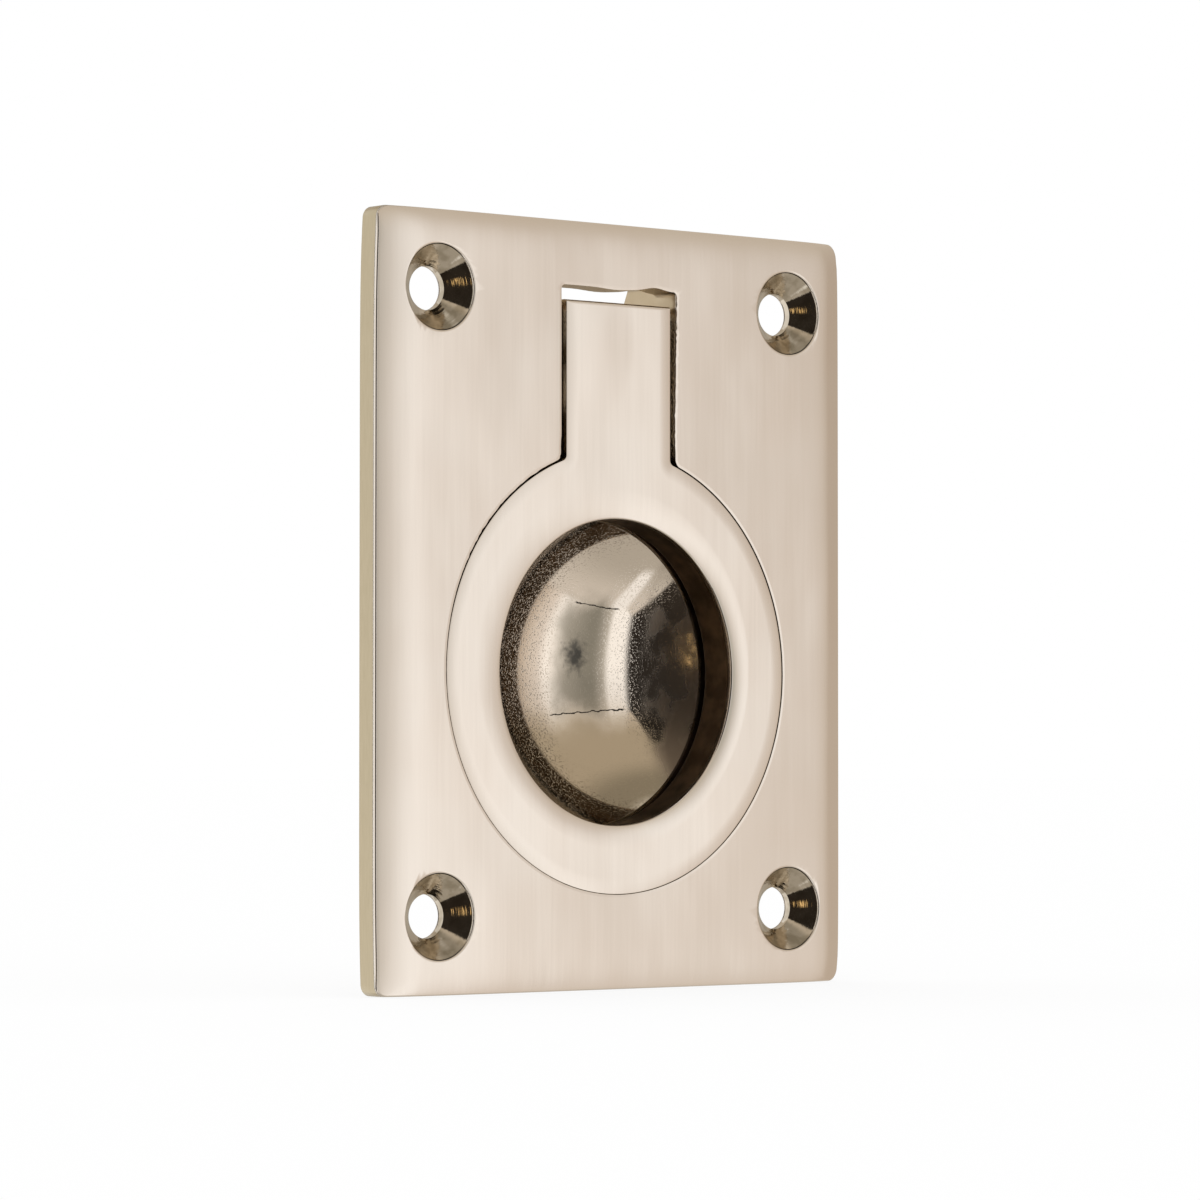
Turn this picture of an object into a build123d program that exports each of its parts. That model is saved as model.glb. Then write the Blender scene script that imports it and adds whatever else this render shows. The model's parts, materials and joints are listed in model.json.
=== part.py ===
"""Flush ring pull: a cast faceplate with a keyhole recess, a finger cup and a folding ring.

Frame: X runs across the plate, Z up, and the pull faces -Y. The origin is the middle of the
screw pattern on the mounting plane, which is the flat back of the plate, so the plate lies in
front of Y = 0 and the cup and the hinge lugs lie behind it. All sizes are in millimetres.
"""
import os
from math import isclose, pi, radians, sqrt, tan

from build123d import *

# ---- Faceplate -------------------------------------------------------------------------
plate_width = 50.8
plate_height = 63.5
plate_thickness = 2.5
plate_corner_radius = 0.5
crown_width = 3.5  # the front face rolls off over this width along its four edges
crown_drop = 0.7  # and has fallen back by this much where it meets the side

# ---- Screws ----------------------------------------------------------------------------
screw_spacing_x = 38.2
screw_spacing_z = 50.8
screw_hole_diameter = 3.6
countersink_diameter = 7.2
countersink_angle = 90

# ---- Ring and tongue -------------------------------------------------------------------
ring_drop = 5.5  # centre of the ring below the centre of the plate
ring_outer_diameter = 36.8
ring_opening_diameter = 25.4
ring_thickness = 4.2
ring_draft = 14  # the rim tapers towards the back, so that it swings clear of the recess
ring_roll_width = 1.0  # soft edge where the finger enters the opening
ring_roll_drop = 0.6
ring_edge = 0.15
ring_back_edge = 0.9
tongue_width = 11.4
shoulder_radius = 0.5  # inside corners between the tongue and the ring
tongue_root = 1.4  # the tongue starts in the band of the ring, this far from the opening

# ---- Hinge -----------------------------------------------------------------------------
pin_diameter = 2.0
pin_cover = 0.1  # the pin hole is drilled sideways, just behind the plate
pin_running_clearance = 0.07  # radial, tongue on pin
pin_drive_clearance = 0.01  # radial, pin in the lugs
pin_end_chamfer = 0.2
knuckle_above_pin = 4.3
knuckle_behind_pin = 2.6
knuckle_front_radius = 0.6
knuckle_back_radius = 2.4
knuckle_swing_clearance = 0.3
lug_thickness = 3.0
lug_depth = 5.9  # behind the plate
lug_top_slope = 24  # the back of the lugs leans forward above the pin
lug_above_slot = 2.2
lug_corner_radius = 1.4
lug_edge_radius = 0.8

# ---- Keyhole recess --------------------------------------------------------------------
ring_gap = 0.2  # all round the ring, at the front
tongue_gap = 0.55  # on each side of the tongue
tongue_top_gap = 1.15
slot_margin = 5.4  # from the end of the slot to the top edge of the plate
ring_floor_gap = 0.25  # under the back of the ring
recess_corner_radius = 0.8
recess_edge = 0.2

# ---- Finger cup and the housing behind the plate ---------------------------------------
cup_rim_diameter = 25.6
cup_depth = 5.8  # below the floor of the recess
cup_rim_edge = 0.3
casting_wall = 1.8
housing_draft = 3
housing_edge = 1.0
dome_collar = 1.2

# ---- Derived places --------------------------------------------------------------------
front_y = -plate_thickness
ring_z = -ring_drop
ring_radius = ring_outer_diameter / 2
opening_radius = ring_opening_diameter / 2
recess_radius = ring_radius + ring_gap
recess_depth = ring_thickness + ring_floor_gap
slot_width = tongue_width + 2 * tongue_gap

ring_back_y = front_y + ring_thickness
back_radius = ring_radius - ring_thickness * tan(radians(ring_draft))
tongue_foot_z = ring_z + opening_radius + tongue_root

pin_radius = pin_diameter / 2
pin_y = pin_radius + pin_cover
slot_top_z = plate_height / 2 - slot_margin
tongue_top_z = slot_top_z - tongue_top_gap
pin_z = tongue_top_z - knuckle_above_pin

floor_y = front_y + recess_depth
floor_back_y = floor_y + casting_wall
cup_rim = cup_rim_diameter / 2
cup_sphere_radius = (cup_rim**2 + cup_depth**2) / (2 * cup_depth)
cup_centre_y = floor_y + cup_depth - cup_sphere_radius
dome_sphere_radius = cup_sphere_radius + casting_wall
dome_foot = sqrt(dome_sphere_radius**2 - (floor_back_y - cup_centre_y) ** 2)
housing_radius = recess_radius + casting_wall
housing_taper = floor_back_y * tan(radians(housing_draft))

lug_span = slot_width + 2 * lug_thickness
lug_top_z = slot_top_z + lug_above_slot
lug_foot_z = ring_z + dome_foot + 2 * dome_collar
lug_heel_z = lug_foot_z + lug_depth - floor_back_y
lug_slope_rise = (lug_top_z - pin_z - pin_radius) * tan(radians(lug_top_slope))
knuckle_sweep = knuckle_back_radius + sqrt(
    (knuckle_behind_pin - knuckle_back_radius) ** 2 + (knuckle_above_pin - knuckle_back_radius) ** 2
)
window_foot_z = pin_z - knuckle_sweep - knuckle_swing_clearance
knuckle_back_y = pin_y + knuckle_behind_pin
knuckle_drop = sqrt(knuckle_behind_pin**2 - (ring_back_y - pin_y) ** 2)

front_plane = Plane.XZ.offset(plate_thickness)
side_plane = Plane.YZ  # sketch x is Y, sketch y is Z
cup_plane = Plane.XY.offset(ring_z)  # sketch x is the radius from the cup's axis, sketch y is Y
cup_axis = Axis((0, 0, ring_z), (0, 1, 0))
height_plane = Plane(origin=(0, 0, 0), x_dir=(0, 0, 1), z_dir=(-1, 0, 0))

# ---- Dome: the outside of the finger cup ------------------------------------------------
with BuildPart() as dome:
    with Locations((0, cup_centre_y, ring_z)):
        Sphere(dome_sphere_radius)
    split(bisect_by=Plane.XZ.offset(-floor_y), keep=Keep.BOTTOM)

# ---- Faceplate: plate, recess, cup, housing and lugs are one casting --------------------
with BuildPart() as faceplate:
    # The plate, crowned across its width and its height, with rounded corners
    for section_plane, span, length, how in (
        (Plane.XY, plate_width, plate_height, Mode.ADD),
        (height_plane, plate_height, plate_width, Mode.INTERSECT),
    ):
        with BuildSketch(section_plane):
            with BuildLine():
                half = span / 2
                flat = Line((0, front_y), (half - crown_width, front_y))
                roll = TangentArc(flat @ 1, (half, front_y + crown_drop), tangent=flat % 1)
                Polyline(roll @ 1, (half, 0), (0, 0))
                mirror(about=Plane.YZ)
            make_face()
        extrude(amount=length / 2, both=True, mode=how)
    fillet(edges().filter_by(Axis.Y), plate_corner_radius)

    # The housing behind the plate: a drafted drum round the recess, and the dome of the cup
    with BuildSketch(cup_plane):
        with BuildLine():
            rim_back = (housing_radius - housing_taper, floor_back_y)
            Polyline((0, 0), (0, floor_back_y), rim_back, (housing_radius, 0), close=True)
        make_face()
        chamfer(vertices().filter_by(lambda v: isclose(v.X, rim_back[0])), housing_edge)
    revolve(axis=cup_axis)
    add(dome.part)
    dome_foot_edge = edges().filter_by(lambda e: isclose(e.length, 2 * pi * dome_foot, rel_tol=1e-6))
    chamfer(dome_foot_edge, dome_collar)

    # The hinge lugs, still one block
    with BuildSketch(side_plane):
        with BuildLine():
            Polyline(
                (0, lug_foot_z),
                (floor_back_y, lug_foot_z),
                (lug_depth, lug_heel_z),
                (lug_depth, pin_z + pin_radius),
                (lug_depth - lug_slope_rise, lug_top_z),
                (0, lug_top_z),
                close=True,
            )
        make_face()
        back_corners = vertices().filter_by(lambda v: v.Y > pin_z and v.X > pin_y)
        fillet(back_corners, lug_corner_radius)
    extrude(amount=lug_span / 2, both=True)
    lug_edges = faces().filter_by(Axis.X).edges().filter_by(lambda e: e.center().Z > lug_heel_z)
    fillet(lug_edges.filter_by(lambda e: e.center().Y > pin_cover), lug_edge_radius)

    # The keyhole recess, as deep as the ring
    with BuildSketch(front_plane):
        with Locations((0, ring_z)):
            Circle(recess_radius)
        with Locations((0, ring_z)):
            Rectangle(slot_width, slot_top_z - ring_z, align=(Align.CENTER, Align.MIN))
        keyhole_corners = vertices().filter_by(lambda v: v.Y > ring_z + opening_radius)
        fillet(keyhole_corners, recess_corner_radius)
    extrude(amount=-recess_depth, mode=Mode.SUBTRACT)

    # The finger cup
    with Locations((0, cup_centre_y, ring_z)):
        Sphere(cup_sphere_radius, mode=Mode.SUBTRACT)
    cup_edges = edges().filter_by(lambda e: isclose(e.bounding_box().min.Y, floor_y))
    chamfer(cup_edges.filter_by(lambda e: isclose(e.length, pi * cup_rim_diameter)), cup_rim_edge)

    # The window between the lugs, open at the back and the top, where the knuckle turns
    with BuildSketch(Plane.XZ):
        with Locations((0, window_foot_z)):
            Rectangle(slot_width, plate_height, align=(Align.CENTER, Align.MIN))
    extrude(amount=-2 * lug_depth, mode=Mode.SUBTRACT)

    # The pin hole runs through both lugs
    with BuildSketch(side_plane):
        with Locations((pin_y, pin_z)):
            Circle(pin_radius + pin_drive_clearance)
    extrude(amount=lug_span, both=True, mode=Mode.SUBTRACT)

    # Softened edges of the keyhole, and the rim of the cup
    front_face = faces().filter_by(Plane.XZ).sort_by(Axis.Y)[0]
    chamfer(front_face.inner_wires().edges(), recess_edge)

    # Screw holes
    with Locations(front_plane):
        with GridLocations(screw_spacing_x, screw_spacing_z, 2, 2):
            CounterSinkHole(
                radius=screw_hole_diameter / 2,
                counter_sink_radius=countersink_diameter / 2,
                counter_sink_angle=countersink_angle,
            )

# ---- Ring pull: the ring, its tongue and the hinge knuckle are one casting --------------
with BuildPart() as ring_pull:
    # The tongue and its knuckle, drawn from the side
    with BuildSketch(side_plane):
        with BuildLine():
            Polyline(
                (ring_back_y, pin_z - knuckle_drop),
                (ring_back_y, tongue_foot_z),
                (front_y, tongue_foot_z),
                (front_y, tongue_top_z),
                (knuckle_back_y, tongue_top_z),
                (knuckle_back_y, pin_z),
            )
            RadiusArc((knuckle_back_y, pin_z), (ring_back_y, pin_z - knuckle_drop), knuckle_behind_pin)
        make_face()
        fillet(vertices().group_by(Axis.Y)[-1].sort_by(Axis.X)[-1], knuckle_back_radius)
        fillet(vertices().group_by(Axis.Y)[-1].sort_by(Axis.X)[0], knuckle_front_radius)
    extrude(amount=tongue_width / 2, both=True)

    # The ring: flat in front, drafted on the outside and rounded at the back
    with BuildSketch(cup_plane):
        with BuildLine():
            band = Line((opening_radius + ring_roll_width, front_y), (ring_radius, front_y))
            Polyline(
                band @ 1,
                (back_radius, ring_back_y),
                (opening_radius, ring_back_y),
                (opening_radius, front_y + ring_roll_drop),
            )
            TangentArc(band @ 0, (opening_radius, front_y + ring_roll_drop), tangent=(-1, 0))
        make_face()
        chamfer(vertices().group_by(Axis.Y)[-1], ring_back_edge)
    revolve(axis=cup_axis)

    # The inside corners where the tongue meets the ring, then the whole outline, are softened
    plain_edges = (GeomType.LINE, GeomType.CIRCLE)
    side_edges = faces().filter_by(Axis.X).edges()
    fillet(side_edges.filter_by(lambda e: e.geom_type not in plain_edges), shoulder_radius)
    front_face = faces().filter_by(Plane.XZ).sort_by(Axis.Y)[0]
    chamfer(front_face.outer_wire().edges().filter_by(Axis.X, reverse=True), ring_edge)

    # The pin hole
    with BuildSketch(side_plane):
        with Locations((pin_y, pin_z)):
            Circle(pin_radius + pin_running_clearance)
    extrude(amount=tongue_width, both=True, mode=Mode.SUBTRACT)

# ---- Hinge pin: driven through both lugs and flush with their sides ----------------------
with BuildPart() as hinge_pin:
    with BuildSketch(side_plane):
        with Locations((pin_y, pin_z)):
            Circle(pin_radius)
    extrude(amount=lug_span / 2, both=True)
    chamfer(edges().filter_by(GeomType.CIRCLE), pin_end_chamfer)

os.makedirs("parts", exist_ok=True)
faceplate.part.label = "faceplate"
export_step(faceplate.part, "parts/faceplate.step")
ring_pull.part.label = "ring_pull"
export_step(ring_pull.part, "parts/ring_pull.step")
hinge_pin.part.label = "hinge_pin"
export_step(hinge_pin.part, "parts/hinge_pin.step")
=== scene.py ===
# %% [markdown]
# # A flush ring pull
#
# The real object is a cabinet fitting: a cast and hand polished faceplate with a keyhole recess,
# a ring with a tongue that folds flat into it, and a pin at the back on which the ring swings.
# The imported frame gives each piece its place, so this lesson only has to give it its looks.
# It works in millimetres and scales to metres at the moment when a point is made.

# %% Load the frame and keep its box
import json
from math import asin, atan2, cos, degrees, exp, pi, radians, sin, sqrt, tan

import bmesh
import bpy
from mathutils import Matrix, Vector, noise


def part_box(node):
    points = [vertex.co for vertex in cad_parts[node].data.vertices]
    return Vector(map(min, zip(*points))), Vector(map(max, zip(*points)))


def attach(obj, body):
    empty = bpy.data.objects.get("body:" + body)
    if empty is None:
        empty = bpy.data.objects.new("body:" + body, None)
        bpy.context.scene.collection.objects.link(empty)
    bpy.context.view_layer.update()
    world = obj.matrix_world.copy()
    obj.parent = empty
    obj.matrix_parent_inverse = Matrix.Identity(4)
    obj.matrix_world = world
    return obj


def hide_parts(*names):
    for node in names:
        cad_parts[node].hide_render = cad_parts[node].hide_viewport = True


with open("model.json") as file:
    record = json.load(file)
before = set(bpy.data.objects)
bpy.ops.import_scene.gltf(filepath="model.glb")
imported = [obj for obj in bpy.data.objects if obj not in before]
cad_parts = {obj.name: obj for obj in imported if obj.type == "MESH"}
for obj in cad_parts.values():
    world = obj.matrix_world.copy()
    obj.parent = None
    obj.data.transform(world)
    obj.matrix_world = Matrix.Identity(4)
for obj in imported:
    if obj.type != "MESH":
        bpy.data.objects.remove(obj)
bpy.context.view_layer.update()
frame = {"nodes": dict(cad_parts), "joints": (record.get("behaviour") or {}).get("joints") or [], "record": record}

mm = 0.001

# %% Sizes that the frame gives
plate_low, plate_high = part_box("faceplate")
_, ring_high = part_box("ring_pull")
front_y = plate_low.y / mm
plate_half_x = plate_high.x / mm
plate_half_z = plate_high.z / mm
tongue_top_z = ring_high.z / mm
knuckle_back_y = ring_high.y / mm
_, pin_y, pin_z = (v / mm for v in frame["joints"][0]["pos_m"])
screws = next(m for m in frame["record"]["mounts"] if m["name"] == "screw_holes")
screw_hole_radius = screws["dims"]["hole_r_mm"]
screw_spacing_x = screws["dims"]["spacing_x_mm"]
screw_spacing_z = screws["dims"]["spacing_y_mm"]
print("plate", plate_half_x * 2, "by", plate_half_z * 2, "mm, pin at", pin_y, pin_z)

# %% [markdown]
# ## Three ways to make a solid
#
# Nearly every form here is one of three things. A loft joins outlines that lie at different
# depths, a lathed form turns a profile about an axis, and a slab pushes a side profile sideways.
# Each could be drawn by hand in edit mode, but a few lines of mesh code keep the sizes exact and
# let one outline serve for both the ring and the recess that it lies in.

# %% Loft, lathe and slab
def solid(name, rows):
    """Joins rows of points with quads and closes both ends. A row of one point is a pole."""
    bm = bmesh.new()
    made = [[bm.verts.new(Vector(p) * mm) for p in row] for row in rows]
    for low, high in zip(made, made[1:]):
        for i in range(max(len(low), len(high))):
            low_pair = [low[i % len(low)], low[(i + 1) % len(low)]]
            high_pair = [high[(i + 1) % len(high)], high[i % len(high)]]
            bm.faces.new(dict.fromkeys(low_pair + high_pair))
    for row in (made[0], made[-1]):
        if len(row) > 1:
            bm.faces.new(row)
    bmesh.ops.recalc_face_normals(bm, faces=bm.faces)
    mesh = bpy.data.meshes.new(name)
    bm.to_mesh(mesh)
    bm.free()
    piece = bpy.data.objects.new(name, mesh)
    bpy.context.scene.collection.objects.link(piece)
    return piece


def loft(name, levels):
    """levels: (depth y, outline of (x, z) points)"""
    return solid(name, [[(x, y, z) for x, z in outline] for y, outline in levels])


def around(steps):
    """Angles that divide a full turn, from half a step in, so that no point lies on an axis."""
    return [2 * pi * (i + 0.5) / steps for i in range(steps)]


def lathe(name, profile, centre_z=0.0, steps=192):
    """profile: (radius, depth y) points, turned about an axis along Y"""
    rows = []
    for r, y in profile:
        turns = around(steps) if r > 0 else [0]
        rows.append([(r * cos(a), y, centre_z + r * sin(a)) for a in turns])
    return solid(name, rows)


def slab(name, profile, half_width):
    """profile: (depth y, height z) points, pushed sideways both ways"""
    return solid(name, [[(x, y, z) for y, z in profile] for x in (-half_width, half_width)])


def arc(centre, radius, start, end, steps):
    """Points on an arc, with both ends, from and to angles in degrees."""
    turns = [radians(start + (end - start) * i / steps) for i in range(steps + 1)]
    return [(centre[0] + radius * cos(a), centre[1] + radius * sin(a)) for a in turns]


# %% Cutting, joining and softening
same_point = 1e-7  # metres; the cuts leave points closer than this, which are one point
sharp_angle = 30  # edges that bend by more degrees than this get rounded


def combine(body, tools, how):
    """Joins the tools to the body or cuts them out of it, and removes them."""
    for tool in tools:
        step = body.modifiers.new(how, "BOOLEAN")
        step.operation = how
        step.solver = "EXACT"
        step.object = tool
    settle(body)
    for tool in tools:
        bpy.data.objects.remove(tool)


def settle(body):
    """Turns what the modifiers made into a plain mesh."""
    scene_now = bpy.context.evaluated_depsgraph_get()
    seen = body.evaluated_get(scene_now)
    mesh = bpy.data.meshes.new_from_object(seen, preserve_all_data_layers=True, depsgraph=scene_now)
    body.modifiers.clear()
    body.data = mesh
    body.data.name = body.name


def soften(body, width, steps=3):
    """Rounds every sharp edge, and keeps the flats flat in the light."""
    bm = bmesh.new()
    bm.from_mesh(body.data)
    bmesh.ops.remove_doubles(bm, verts=bm.verts, dist=same_point)
    bmesh.ops.dissolve_degenerate(bm, dist=same_point, edges=bm.edges)
    bm.to_mesh(body.data)
    bm.free()
    body.data.shade_smooth()
    edge = body.modifiers.new("soft edges", "BEVEL")
    edge.width = width * mm
    edge.segments = steps
    edge.limit_method = "ANGLE"
    edge.angle_limit = radians(sharp_angle)
    edge.miter_outer = "MITER_ARC"
    edge.use_clamp_overlap = True
    flats = body.modifiers.new("flat faces stay flat", "WEIGHTED_NORMAL")
    flats.mode = "FACE_AREA"
    flats.weight = 100
    flats.keep_sharp = True
    settle(body)
    bm = bmesh.new()
    bm.from_mesh(body.data)
    open_edges = sum(not e.is_manifold for e in bm.edges)
    tris = sum(len(f.verts) - 2 for f in bm.faces)
    print(body.name, "triangles", tris, "open edges", open_edges)
    print(body.name, "volume", round(bm.calc_volume() / mm**3, 1), "cubic mm")
    bm.free()


# %% [markdown]
# ## The keyhole outline
#
# The ring with its tongue, and the recess in the plate, have the same outline: a circle with a
# straight piece standing on it. Drawn once as a function, it serves for both, and a growing or
# shrinking copy at each depth gives the rolled edges that a polishing wheel leaves.

# %% The outline as a function
ring_z = -5.5
circle_steps, side_steps, top_steps, corner_steps = 150, 48, 20, 8


def between(start, end, count):
    """Points that divide a straight line, without its ends."""
    return [tuple(a + (b - a) * i / count for a, b in zip(start, end)) for i in range(1, count)]


def keyhole(radius, half_width, top_z, shoulder, corner, grow=0.0):
    """A circle about (0, ring_z) with a straight-sided piece on top, as (x, z) points."""
    radius, half_width, top_z = radius + grow, half_width + grow, top_z + grow
    shoulder, corner = shoulder - grow, corner + grow
    reach = half_width + shoulder
    shoulder_z = ring_z + sqrt((radius + shoulder) ** 2 - reach**2)
    turn = degrees(atan2(shoulder_z - ring_z, reach))
    right = arc((0, ring_z), radius, -90, turn, circle_steps)
    right += arc((reach, shoulder_z), shoulder, turn + 180, 180, corner_steps)[1:]
    rounded = arc((half_width - corner, top_z - corner), corner, 0, 90, corner_steps)
    right += between(right[-1], rounded[0], side_steps) + rounded
    right += between(rounded[-1], (0, top_z), top_steps)
    return right + [(0, top_z)] + [(-x, z) for x, z in reversed(right[1:])]


# %% Worn and filed edges
def worn(width, drop, radius, power=2, proud=0.0, steps=10, round_steps=8):
    """(how far in, how deep) down a polished edge: a wide shallow roll, then a small round one.

    proud lifts the outer end of the roll, so that a cut with this edge starts clear of the face.
    """
    fall = atan2(power * drop, width)
    end = radius * (1 - sin(fall))
    edge = []
    for i in range(steps):
        share = i / steps
        edge.append((end + width * (1 - share), drop * share**power - proud * (1 - share)))
    turns = [fall + (pi / 2 - fall) * i / round_steps for i in range(round_steps + 1)]
    return edge + [(radius * (1 - sin(a)), drop + radius * (cos(fall) - cos(a))) for a in turns]


def rolled(radius, steps=6):
    """(how far in, how deep) along a quarter-round edge, from the flat to the wall."""
    turns = [pi / 2 * i / steps for i in range(steps + 1)]
    return [(radius * (1 - sin(a)), radius * (1 - cos(a))) for a in turns]


def between_0_and_1(value, low, high):
    return min(max((value - low) / (high - low), 0), 1)


def hump(x, middle, width):
    return exp(-(((x - middle) / width) ** 2))


# %% [markdown]
# ## The faceplate blank
#
# The plate is a flat casting whose front rolls off along its four edges. It could be a cube with
# a bevel, but a bevel is a full quarter round and the same everywhere, and this roll is wide and
# shallow and differs from side to side, as it was ground by hand. So the plate is lofted from
# outlines that shrink as they come forward, and each of their points is lowered by the rolls of
# the edges near it. In a corner two rolls add up, so no sharp mitre shows there.

# %% How far the front rolls off
rolls = {  # how wide, how deep and with what power it falls, for each edge
    "left": (6.0, 0.44, 3),
    "right": (4.5, 0.45, 4),
    "top": (4.5, 0.42, 4),
    "foot": (4.5, 0.34, 4),
}
crown_width = 6.0  # the widest of the rolls
crown_rows = 26
crown_rounding = 1.0  # how much rounder the corners get for each millimetre in
edge_radius = 0.12  # the small round where the front meets the side
edge_rows = 8
plate_corner_radius = 0.9
plate_corner_steps, plate_side_steps = 12, 56
drawn_in_x, drawn_in_z = 0.008, 0.002  # share by which the corners lie further in than the sides
drawn_in_upper_left = 1.6  # times as much at the upper left corner
drawn_in_power = 8


def roll_off(x, z):
    """How far the front lies below its highest level at one place."""
    gaps = {
        "left": plate_half_x + x,
        "right": plate_half_x - x,
        "top": plate_half_z - z,
        "foot": plate_half_z + z,
    }
    return sum(
        depth * max(0, 1 - gaps[edge] / width) ** power
        for edge, (width, depth, power) in rolls.items()
    )


def plate_outline(inset):
    """The rounded rectangle of the plate, moved in on all sides, with rounder corners further in."""
    corner = plate_corner_radius + crown_rounding * inset
    x, z = plate_half_x - inset - corner, plate_half_z - inset - corner
    middles = ((x, -z, -90), (x, z, 0), (-x, z, 90), (-x, -z, 180))
    sides = []
    for (mx, mz, start), (nx, nz, _) in zip(middles, middles[1:] + middles[:1]):
        sides += arc((mx, mz), corner, start, start + 90, plate_corner_steps)
        goal = arc((nx, nz), corner, start + 90, start + 91, 1)[0]
        sides += between(sides[-1], goal, plate_side_steps)
    drawn_in = []
    for x, z in sides:
        more = drawn_in_upper_left if x < 0 < z else 1
        in_x = drawn_in_x * (abs(z) / plate_half_z) ** drawn_in_power * more
        in_z = drawn_in_z * (abs(x) / plate_half_x) ** drawn_in_power
        drawn_in.append((x * (1 - in_x), z * (1 - in_z)))
    return drawn_in


# %% Loft the blank
rows = [[(x, 0, z) for x, z in plate_outline(0)]]
for i in range(edge_rows):
    turn = pi / 2 * i / edge_rows
    outline = plate_outline(edge_radius * (1 - cos(turn)))
    below = edge_radius * (1 - sin(turn))
    rows.append([(x, front_y + roll_off(x, z) + below, z) for x, z in outline])
for i in range(crown_rows + 1):
    outline = plate_outline(edge_radius + (crown_width - edge_radius) * i / crown_rows)
    rows.append([(x, front_y + roll_off(x, z), z) for x, z in outline])
plate = solid("faceplate_casting", rows)
corner_drop = round(roll_off(plate_half_x, plate_half_z), 2)
print("blank faces", len(plate.data.polygons), "drop at a corner", corner_drop, "mm")

# %% [markdown]
# ## The housing and the hinge lugs
#
# Behind the plate the casting follows the recess: a drafted drum with a dome on it for the
# finger cup, and a block with sloping shoulders that holds the hinge pin. The drum and the dome
# are one turned profile. The block is a side profile pushed both ways, with its corners rounded.

# %% Turn the housing and push out the lugs
recess_radius = 18.6
slot_half_width = 6.25
slot_top_z = 26.35
floor_y = 1.95
wall = 1.8
cup_depth = 5.79  # below the floor of the recess
cup_centre_y = -9.27
cup_radius = floor_y + cup_depth - cup_centre_y
dome_radius = cup_radius + wall
floor_back_y = floor_y + wall
drum_radius = recess_radius + wall
buried_y = -1  # inside the plate, so that what is joined to it overlaps it
drum_draft = 3
drum_edge = 1.2
drum_back_radius = drum_radius - floor_back_y * tan(radians(drum_draft))
dome_foot_rise = 0.9  # the dome ends this far above the drum, and a hollow collar runs down to it
collar_width = 1.6
collar_hollow = ((0.35, 0.42), (0.95, 0.77))  # (out, down) from the foot of the dome

dome_foot_turn = degrees(asin((floor_back_y + dome_foot_rise - cup_centre_y) / dome_radius))
dome = arc((0, cup_centre_y), dome_radius, 90, dome_foot_turn, 24)
foot_radius, foot_y = dome[-1]
collar = [(foot_radius + out, foot_y - down) for out, down in collar_hollow]
collar += [(foot_radius + collar_width, floor_back_y)]
drum_corner_centre = (drum_back_radius - drum_edge, floor_back_y - drum_edge)
drum_side = arc(drum_corner_centre, drum_edge, 90, drum_draft, 6) + [(drum_radius, 0)]
profile = [(0, dome[0][1])] + dome[1:] + collar + drum_side
housing = lathe("housing", profile + [(drum_radius, buried_y), (0, buried_y)], ring_z)

lug_thickness = 3.0
lug_depth = 5.9
lug_above_slot = 2.2
lug_slope = 24
lug_corner = 1.4
lug_edge = 0.8
lug_foot_z, lug_heel_z = 10, 12.6
lug_half_width = slot_half_width + lug_thickness
lug_top_z = slot_top_z + lug_above_slot
lug_bend_z = pin_z + 1.0
lean = radians(lug_slope)
lug_rise = (lug_top_z - lug_bend_z) * tan(lean)
top_corner_y = lug_depth - lug_rise - lug_corner * tan((pi / 2 - lean) / 2)
bend_centre = (lug_depth - lug_corner, lug_bend_z - lug_corner * tan(lean / 2))
lug_profile = [(buried_y, lug_foot_z), (floor_back_y, lug_foot_z), (lug_depth, lug_heel_z)]
lug_profile += arc(bend_centre, lug_corner, 0, lug_slope, 4)
lug_profile += arc((top_corner_y, lug_top_z - lug_corner), lug_corner, lug_slope, 90, 6)
lug_profile += [(buried_y, lug_top_z)]
lugs = slab("lugs", lug_profile, lug_half_width)
soften(lugs, lug_edge, 4)
combine(plate, [housing, lugs], "UNION")
print("with housing and lugs, faces", len(plate.data.polygons))

# %% [markdown]
# ## The recess, the cup and the window for the knuckle
#
# What the ring lies in is cut out of the casting. The keyhole cutter flares at the front, so the
# cut leaves a rolled edge. The cup is part of a sphere. Behind the plate a window lets the
# knuckle turn, and the pin hole goes through both lugs.

# %% Cut the recess, the cup, the window and the pin hole
recess_shift = (-0.02, 0.03)  # the ring doesn't lie quite in the middle of its recess
recess_edge = worn(0.4, 0.012, 0.02, proud=0.004)
recess_shape = {
    "radius": recess_radius - 0.15,
    "half_width": slot_half_width,
    "top_z": slot_top_z,
    "shoulder": 0.8,
    "corner": 0.4,
}
cutter_start, mouth_grow = 0.3, 0.54  # the cutter starts in front of the plate, wider still
wander, grain = 0.006, 0.005  # how far the file strayed, slowly and from stroke to stroke
slow_pitch, fine_pitch = 0.9, 4.0  # how often it did so
left_grain = 0.008  # it strayed more on the left
jag, jag_grain = 0.08, 0.07  # and most there on the way up to the slot
mouth_flare, mouth_depth = 0.16, 0.5  # the right wall of the slot flares at the front
slot_taper = 0.22  # and the slot is narrower at its foot
slot_foot_z = 13.0
humps = ((0.28, 4.0, 1.3), (-0.14, -0.2, 1.8))  # (height, place, width) along the end of the slot


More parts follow.
